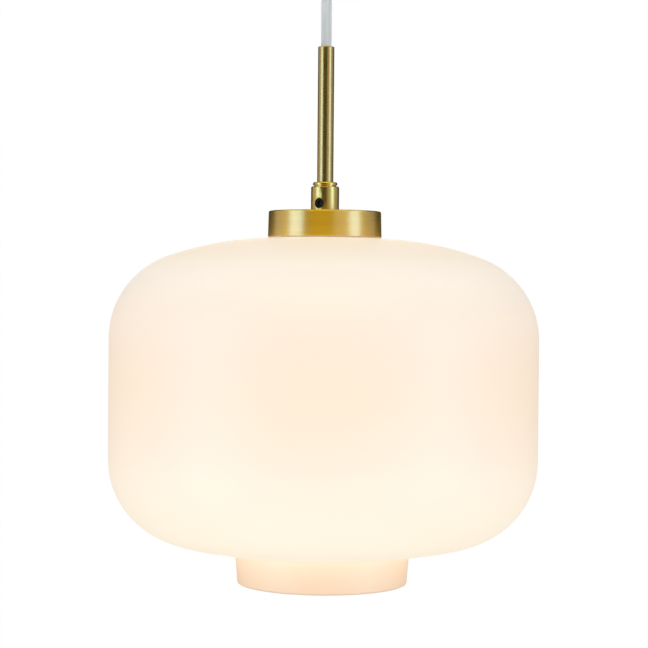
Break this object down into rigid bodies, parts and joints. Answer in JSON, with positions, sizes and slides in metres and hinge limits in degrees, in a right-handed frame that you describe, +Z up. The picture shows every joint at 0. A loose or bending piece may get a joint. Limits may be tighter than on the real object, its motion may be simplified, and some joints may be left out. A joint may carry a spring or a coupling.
{
  "type": "pendant ceiling light",
  "caption": "Pendant light: wide rounded opal glass shade with a short open neck, under a brass cap, coupler and slim stem, on a white flex from a brass ceiling canopy.",
  "frame": {"origin": "centre of the bracket's top face, on the ceiling plane and on the lamp's axis", "axes": "+Z up into the ceiling, -Y towards the front, where the set screw in the coupler shows; +X to the right"},
  "size_m": [0.264, 0.264, 0.4902],
  "materials": {
    "brushed_brass": "brushed around its axis",
    "satin_brass": "satin, drawn along its length",
    "zinc_steel": "zinc plated",
    "black_steel": "blackened",
    "bright_brass": "bright turned",
    "spring_bronze": "rolled strip",
    "white_flex": "matt white sheath",
    "core_brown": "matt",
    "core_blue": "matt",
    "core_green_yellow": "matt, striped",
    "white_nylon": "moulded",
    "holder_metal": "pressed, satin",
    "holder_plastic": "moulded",
    "porcelain": "glazed",
    "silicone": "translucent, matt",
    "opal_glass": "opal, gloss outside",
    "bulb_diffuser": "opal diffuser",
    "bulb_plastic": "moulded",
    "circuit_board": "lacquered",
    "board_aluminium": "white lacquered",
    "led_phosphor": "clear over phosphor",
    "bulb_cap_metal": "rolled thread",
    "black_glass": "gloss"
  },
  "bodies": {
    "ceiling_fitting": {"ceiling_bracket": "zinc_steel", "bracket_earth_screw": "bright_brass", "canopy": "brushed_brass", "canopy_screws": "bright_brass", "grip_body": "satin_brass", "grip_nut": "zinc_steel", "grip_insert": "white_nylon", "grip_ferrule": "satin_brass", "grip_screw": "bright_brass", "terminal_block": "white_nylon", "terminal_tubes": "bright_brass", "terminal_screws": "zinc_steel", "earth_link": "core_green_yellow", "cord_tail": "white_flex", "tail_core_brown": "core_brown", "tail_core_blue": "core_blue", "tail_core_earth": "core_green_yellow"},
    "cord": {"cord": "white_flex"},
    "lamp": {"stem_tube": "satin_brass", "stem_collar": "satin_brass", "coupler": "satin_brass", "set_screw": "black_steel", "nipple": "zinc_steel", "cap": "brushed_brass", "lock_washer": "zinc_steel", "nipple_nut": "zinc_steel", "cord_in_stem": "white_flex", "holder_core_brown": "core_brown", "holder_core_blue": "core_blue", "holder_core_earth": "core_green_yellow", "holder_earth_screw": "bright_brass", "holder_cap": "holder_metal", "holder_skirt": "holder_plastic", "holder_insert": "porcelain", "holder_terminals": "bright_brass", "holder_screws": "zinc_steel", "holder_shell": "bright_brass", "centre_contact": "spring_bronze", "side_contact": "spring_bronze", "shade_ring": "holder_plastic", "upper_gasket": "silicone", "lower_gasket": "silicone", "glass_shade": "opal_glass"},
    "bulb_tip": {"bulb_contact": "bulb_cap_metal"},
    "bulb": {"bulb_globe": "bulb_diffuser", "bulb_housing": "bulb_plastic", "bulb_driver": "circuit_board", "led_board": "board_aluminium", "led_chips": "led_phosphor", "bulb_shell": "bulb_cap_metal", "bulb_insulator": "black_glass"}
  },
  "joints": [
    {"name": "cord_swing", "type": "hinge", "parent": "ceiling_fitting", "child": "cord", "pos_m": [0, 0, -0.038], "axis": [0, 1, 0], "range_deg": [-30, 30]},
    {"name": "lamp_tilt", "type": "hinge", "parent": "cord", "child": "lamp", "pos_m": [0, 0, -0.162], "axis": [1, 0, 0], "range_deg": [-15, 15]},
    {"name": "bulb_lower", "type": "slide", "parent": "lamp", "child": "bulb_tip", "axis": [0, 0, -1], "range_m": [0, 0.0109]},
    {"name": "bulb_turn", "type": "hinge", "parent": "bulb_tip", "child": "bulb", "pos_m": [0, 0, -0.3], "axis": [0, 0, -1], "range_deg": [0, 1080]}
  ],
  "couplings": [
    {"joint": "bulb_lower", "follows": "bulb_turn", "m_per_rad": 0.00057757}
  ]
}
